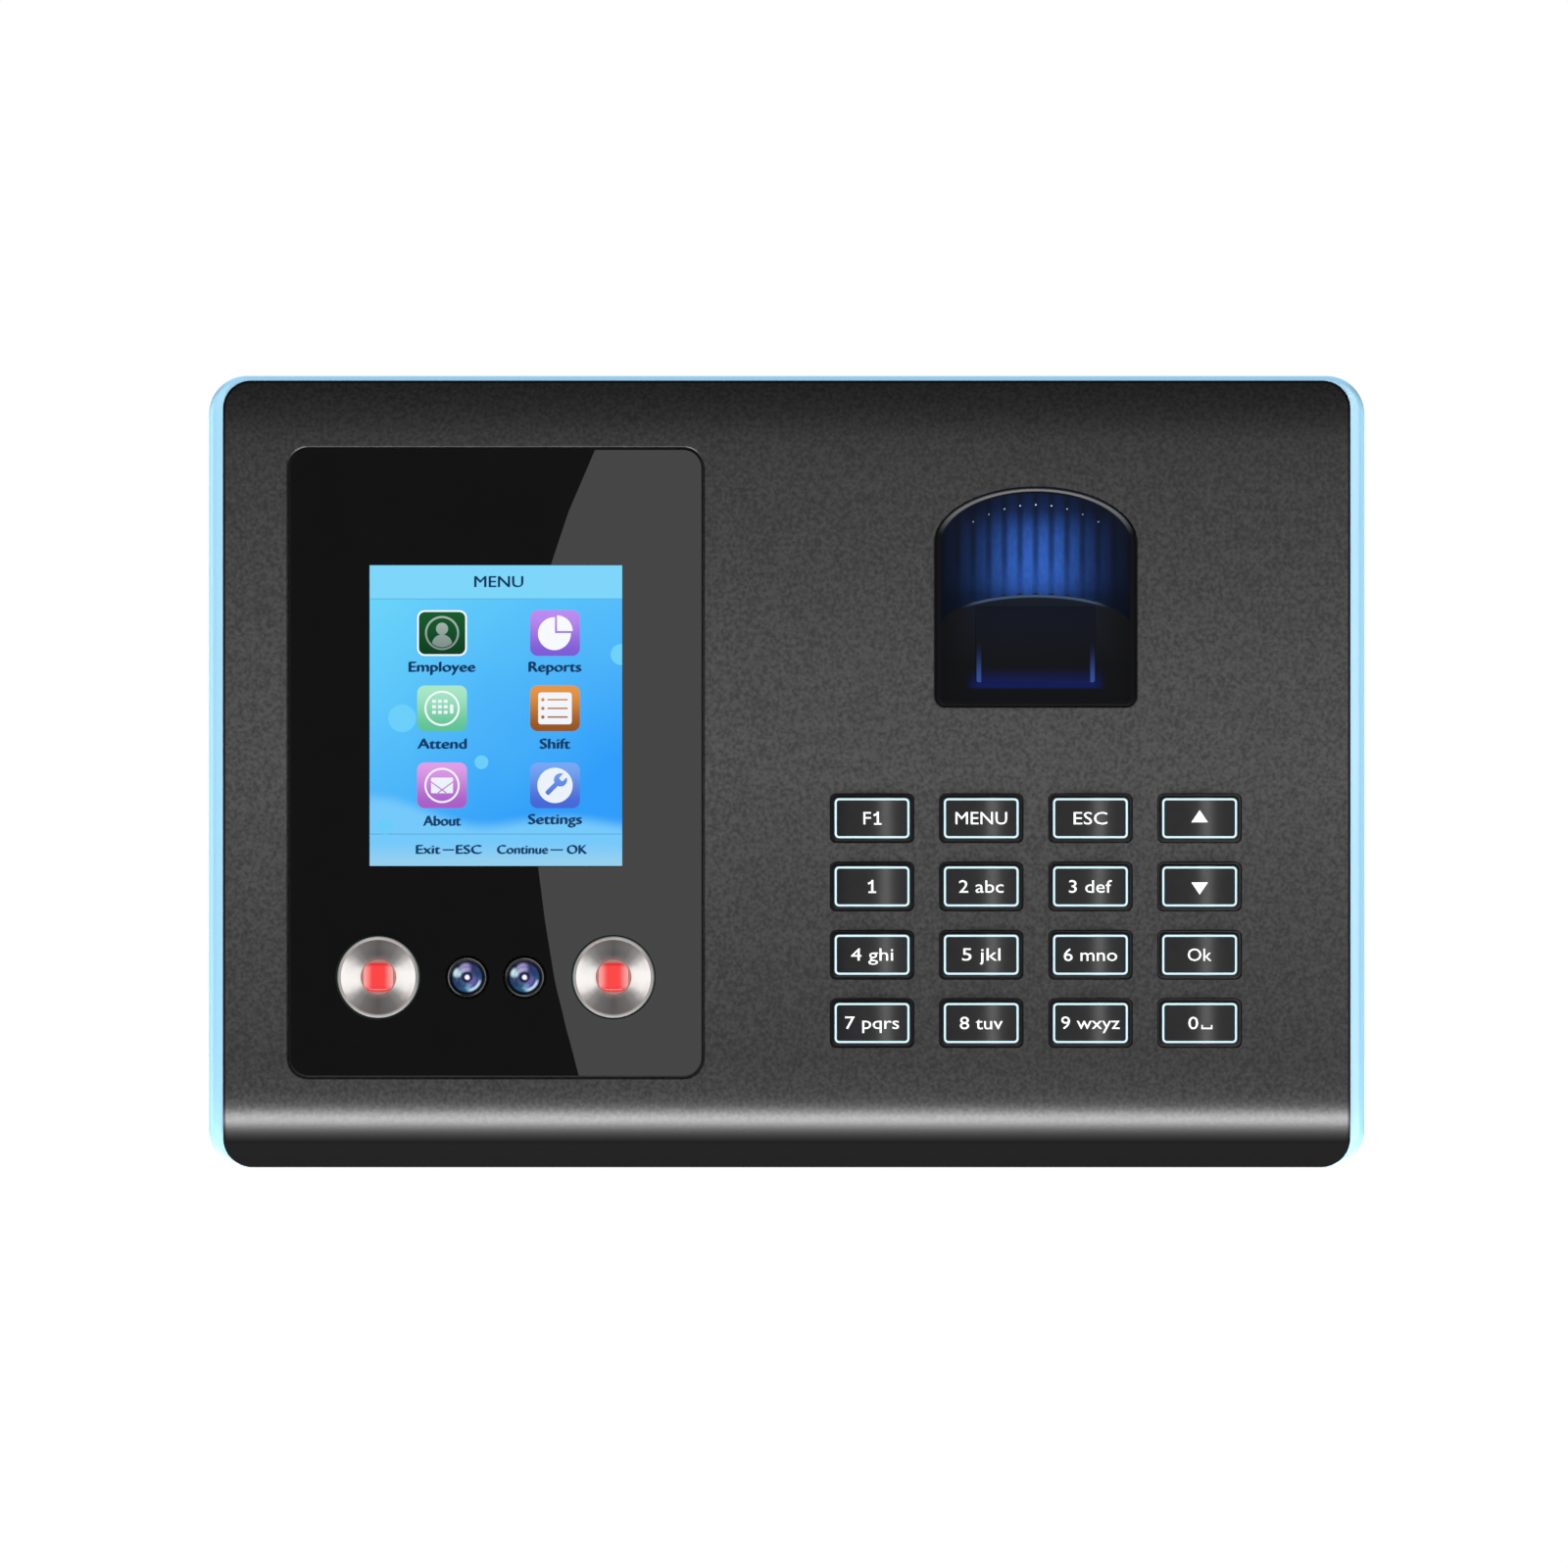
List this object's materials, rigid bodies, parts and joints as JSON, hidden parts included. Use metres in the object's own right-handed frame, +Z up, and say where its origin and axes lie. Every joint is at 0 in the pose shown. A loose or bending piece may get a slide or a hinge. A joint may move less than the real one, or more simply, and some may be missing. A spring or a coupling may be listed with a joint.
{
  "type": "fingerprint scanner terminal",
  "caption": "Wall-mounted attendance terminal with a lit display, twin cameras between infrared lamps, an arched finger recess and a numeric keypad, hung on a steel wall plate.",
  "frame": {"origin": "on the wall, at the back face of the wall plate, behind the middle of the case", "axes": "+X right as seen from the front, +Y into the wall, +Z up; the front faces -Y"},
  "size_m": [0.2, 0.0346, 0.137],
  "materials": {
    "cover_paint": "fine metallic grain, satin",
    "blue_frame": "glossy pale blue",
    "black_plastic": "fine texture",
    "steel": "zinc plated",
    "panel_acrylic": "polished",
    "lcd_glass": "lit display",
    "spring_steel": "turned, radially brushed",
    "red_lens": "clear red epoxy",
    "camera_glass": "coated",
    "reader_black": "polished",
    "prism_glass": "polished",
    "circuit_green": "solder mask",
    "key_black": "glossy with printed legend",
    "silicone": "matte",
    "battery_wrap": "foil wrap",
    "flex_amber": "polyimide film",
    "red_wire": "insulated wire"
  },
  "bodies": {
    "wall_bracket": {"wall_plate": "steel"},
    "terminal": {"front_cover": "cover_paint", "mid_frame": "blue_frame", "rear_cover": "black_plastic", "panel_glass": "panel_acrylic", "lcd_frame": "steel", "lcd_panel": "lcd_glass", "lcd_flex": "flex_amber", "lamp_reflector_left": "spring_steel", "lamp_reflector_right": "spring_steel", "lamp_led_left": "red_lens", "lamp_led_right": "red_lens", "camera_barrel_left": "black_plastic", "camera_barrel_right": "black_plastic", "camera_lens_left": "camera_glass", "camera_lens_right": "camera_glass", "camera_board": "circuit_green", "reader_bezel": "reader_black", "reader_prism": "prism_glass", "reader_housing": "black_plastic", "reader_board": "circuit_green", "keypad_mat": "silicone", "keypad_board": "circuit_green", "main_board": "circuit_green", "shield_can": "steel", "network_socket": "black_plastic", "usb_socket": "steel", "power_socket": "black_plastic", "battery": "battery_wrap", "battery_lead": "red_wire", "speaker": "black_plastic", "speaker_lead": "red_wire", "tamper_switch": "black_plastic", "case_screw_1": "steel", "case_screw_2": "steel", "case_screw_3": "steel", "case_screw_4": "steel", "case_screw_5": "steel", "case_screw_6": "steel", "board_screw_1": "steel", "board_screw_2": "steel"},
    "button_f1": {"key_f1": "key_black"},
    "button_menu": {"key_menu": "key_black"},
    "button_esc": {"key_esc": "key_black"},
    "button_up": {"key_up": "key_black"},
    "button_1": {"key_1": "key_black"},
    "button_2": {"key_2": "key_black"},
    "button_3": {"key_3": "key_black"},
    "button_down": {"key_down": "key_black"},
    "button_4": {"key_4": "key_black"},
    "button_5": {"key_5": "key_black"},
    "button_6": {"key_6": "key_black"},
    "button_ok": {"key_ok": "key_black"},
    "button_7": {"key_7": "key_black"},
    "button_8": {"key_8": "key_black"},
    "button_9": {"key_9": "key_black"},
    "button_0": {"key_0": "key_black"},
    "tamper_pin": {"tamper_plunger": "silicone"}
  },
  "joints": [
    {"name": "terminal_lift", "type": "slide", "parent": "wall_bracket", "child": "terminal", "axis": [0, 0, 1], "range_m": [0, 0.008]},
    {"name": "press_f1", "type": "slide", "parent": "terminal", "child": "button_f1", "axis": [0, 1, 0], "range_m": [0, 0.0008], "stiffness_N_per_m": 600, "deforming": ["keypad_mat"]},
    {"name": "press_menu", "type": "slide", "parent": "terminal", "child": "button_menu", "axis": [0, 1, 0], "range_m": [0, 0.0008], "stiffness_N_per_m": 600, "deforming": ["keypad_mat"]},
    {"name": "press_esc", "type": "slide", "parent": "terminal", "child": "button_esc", "axis": [0, 1, 0], "range_m": [0, 0.0008], "stiffness_N_per_m": 600, "deforming": ["keypad_mat"]},
    {"name": "press_up", "type": "slide", "parent": "terminal", "child": "button_up", "axis": [0, 1, 0], "range_m": [0, 0.0008], "stiffness_N_per_m": 600, "deforming": ["keypad_mat"]},
    {"name": "press_1", "type": "slide", "parent": "terminal", "child": "button_1", "axis": [0, 1, 0], "range_m": [0, 0.0008], "stiffness_N_per_m": 600, "deforming": ["keypad_mat"]},
    {"name": "press_2", "type": "slide", "parent": "terminal", "child": "button_2", "axis": [0, 1, 0], "range_m": [0, 0.0008], "stiffness_N_per_m": 600, "deforming": ["keypad_mat"]},
    {"name": "press_3", "type": "slide", "parent": "terminal", "child": "button_3", "axis": [0, 1, 0], "range_m": [0, 0.0008], "stiffness_N_per_m": 600, "deforming": ["keypad_mat"]},
    {"name": "press_down", "type": "slide", "parent": "terminal", "child": "button_down", "axis": [0, 1, 0], "range_m": [0, 0.0008], "stiffness_N_per_m": 600, "deforming": ["keypad_mat"]},
    {"name": "press_4", "type": "slide", "parent": "terminal", "child": "button_4", "axis": [0, 1, 0], "range_m": [0, 0.0008], "stiffness_N_per_m": 600, "deforming": ["keypad_mat"]},
    {"name": "press_5", "type": "slide", "parent": "terminal", "child": "button_5", "axis": [0, 1, 0], "range_m": [0, 0.0008], "stiffness_N_per_m": 600, "deforming": ["keypad_mat"]},
    {"name": "press_6", "type": "slide", "parent": "terminal", "child": "button_6", "axis": [0, 1, 0], "range_m": [0, 0.0008], "stiffness_N_per_m": 600, "deforming": ["keypad_mat"]},
    {"name": "press_ok", "type": "slide", "parent": "terminal", "child": "button_ok", "axis": [0, 1, 0], "range_m": [0, 0.0008], "stiffness_N_per_m": 600, "deforming": ["keypad_mat"]},
    {"name": "press_7", "type": "slide", "parent": "terminal", "child": "button_7", "axis": [0, 1, 0], "range_m": [0, 0.0008], "stiffness_N_per_m": 600, "deforming": ["keypad_mat"]},
    {"name": "press_8", "type": "slide", "parent": "terminal", "child": "button_8", "axis": [0, 1, 0], "range_m": [0, 0.0008], "stiffness_N_per_m": 600, "deforming": ["keypad_mat"]},
    {"name": "press_9", "type": "slide", "parent": "terminal", "child": "button_9", "axis": [0, 1, 0], "range_m": [0, 0.0008], "stiffness_N_per_m": 600, "deforming": ["keypad_mat"]},
    {"name": "press_0", "type": "slide", "parent": "terminal", "child": "button_0", "axis": [0, 1, 0], "range_m": [0, 0.0008], "stiffness_N_per_m": 600, "deforming": ["keypad_mat"]},
    {"name": "tamper_press", "type": "slide", "parent": "terminal", "child": "tamper_pin", "axis": [0, -1, 0], "range_m": [0, 0.0008], "stiffness_N_per_m": 300}
  ]
}
